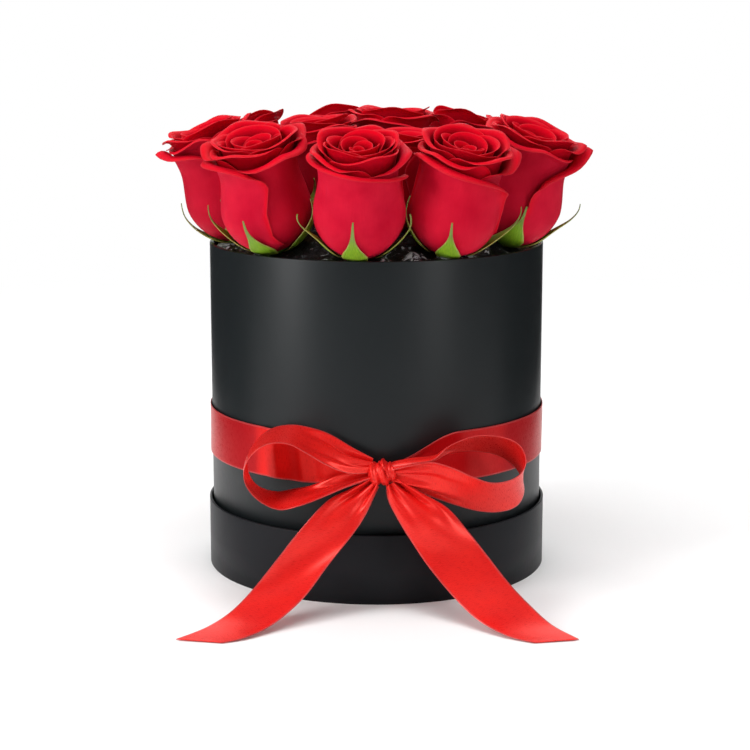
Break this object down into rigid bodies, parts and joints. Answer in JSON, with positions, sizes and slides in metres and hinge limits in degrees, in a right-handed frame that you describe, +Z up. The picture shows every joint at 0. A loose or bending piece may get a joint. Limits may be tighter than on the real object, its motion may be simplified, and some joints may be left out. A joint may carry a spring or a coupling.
{
  "type": "flower box",
  "caption": "Round black hat box standing in its lid, tied with a red satin ribbon and bow, with a foam insert that holds red roses packed at its rim.",
  "frame": {"origin": "centre of the lid's flat outside face, on the surface that the box stands on", "axes": "+Z up along the box's axis, -Y to the front where the bow is, +X to the right seen from the front"},
  "size_m": [0.2178, 0.2602, 0.2481],
  "materials": {
    "black_board": "matte",
    "black_paper": "satin",
    "satin_ribbon": "satin",
    "clear_plastic": "gloss",
    "wet_foam": "matte",
    "black_film": "gloss",
    "rose_petal": "matte",
    "sepal_green": "matte",
    "stem_green": "satin"
  },
  "bodies": {
    "lid": {"lid_panel": "black_board", "lid_rim": "black_board", "lid_wrap": "black_paper"},
    "box": {"box_wall": "black_board", "box_floor": "black_board", "box_wrap": "black_paper", "ribbon_band": "satin_ribbon", "bow_knot": "satin_ribbon", "bow_loop_left": "satin_ribbon", "bow_loop_right": "satin_ribbon", "bow_tail_left": "satin_ribbon", "bow_tail_right": "satin_ribbon"},
    "insert": {"liner": "clear_plastic", "foam_lower": "wet_foam", "foam_upper": "wet_foam", "film_filler": "black_film"},
    "rose_01": {"rose_01_stem": "stem_green", "rose_01_sepals": "sepal_green", "rose_01_bloom": "rose_petal"},
    "rose_02": {"rose_02_stem": "stem_green", "rose_02_sepals": "sepal_green", "rose_02_bloom": "rose_petal"},
    "rose_03": {"rose_03_stem": "stem_green", "rose_03_sepals": "sepal_green", "rose_03_bloom": "rose_petal"},
    "rose_04": {"rose_04_stem": "stem_green", "rose_04_sepals": "sepal_green", "rose_04_bloom": "rose_petal"},
    "rose_05": {"rose_05_stem": "stem_green", "rose_05_sepals": "sepal_green", "rose_05_bloom": "rose_petal"},
    "rose_06": {"rose_06_stem": "stem_green", "rose_06_sepals": "sepal_green", "rose_06_bloom": "rose_petal"},
    "rose_07": {"rose_07_stem": "stem_green", "rose_07_sepals": "sepal_green", "rose_07_bloom": "rose_petal"},
    "rose_08": {"rose_08_stem": "stem_green", "rose_08_sepals": "sepal_green", "rose_08_bloom": "rose_petal"},
    "rose_09": {"rose_09_stem": "stem_green", "rose_09_sepals": "sepal_green", "rose_09_bloom": "rose_petal"},
    "rose_10": {"rose_10_stem": "stem_green", "rose_10_sepals": "sepal_green", "rose_10_bloom": "rose_petal"},
    "rose_11": {"rose_11_stem": "stem_green", "rose_11_sepals": "sepal_green", "rose_11_bloom": "rose_petal"},
    "rose_12": {"rose_12_stem": "stem_green", "rose_12_sepals": "sepal_green", "rose_12_bloom": "rose_petal"}
  },
  "joints": [
    {"name": "box_lift", "type": "slide", "parent": "lid", "child": "box", "axis": [0, 0, 1], "range_m": [0, 0.045]},
    {"name": "insert_lift", "type": "slide", "parent": "box", "child": "insert", "axis": [0, 0, 1], "range_m": [0, 0.18]},
    {"name": "rose_01_pull", "type": "slide", "parent": "insert", "child": "rose_01", "axis": [-0.1638, -0.2621, 0.9511], "range_m": [0, 0.062]},
    {"name": "rose_02_pull", "type": "slide", "parent": "insert", "child": "rose_02", "axis": [0, -0.342, 0.9397], "range_m": [0, 0.062]},
    {"name": "rose_03_pull", "type": "slide", "parent": "insert", "child": "rose_03", "axis": [0.1606, -0.302, 0.9397], "range_m": [0, 0.062]},
    {"name": "rose_04_pull", "type": "slide", "parent": "insert", "child": "rose_04", "axis": [0.2621, -0.1638, 0.9511], "range_m": [0, 0.062]},
    {"name": "rose_05_pull", "type": "slide", "parent": "insert", "child": "rose_05", "axis": [0.3096, 0.1006, 0.9455], "range_m": [0, 0.062]},
    {"name": "rose_06_pull", "type": "slide", "parent": "insert", "child": "rose_06", "axis": [0.2178, 0.2419, 0.9455], "range_m": [0, 0.062]},
    {"name": "rose_07_pull", "type": "slide", "parent": "insert", "child": "rose_07", "axis": [-0.1095, 0.2711, 0.9563], "range_m": [0, 0.062]},
    {"name": "rose_08_pull", "type": "slide", "parent": "insert", "child": "rose_08", "axis": [-0.3074, 0.1499, 0.9397], "range_m": [0, 0.062]},
    {"name": "rose_09_pull", "type": "slide", "parent": "insert", "child": "rose_09", "axis": [-0.3206, -0.0565, 0.9455], "range_m": [0, 0.062]},
    {"name": "rose_10_pull", "type": "slide", "parent": "insert", "child": "rose_10", "axis": [0.0349, 0.0604, 0.9976], "range_m": [0, 0.062]},
    {"name": "rose_11_pull", "type": "slide", "parent": "insert", "child": "rose_11", "axis": [-0.0858, -0.0151, 0.9962], "range_m": [0, 0.062]},
    {"name": "rose_12_pull", "type": "slide", "parent": "insert", "child": "rose_12", "axis": [0.0262, -0.0453, 0.9986], "range_m": [0, 0.062]}
  ]
}
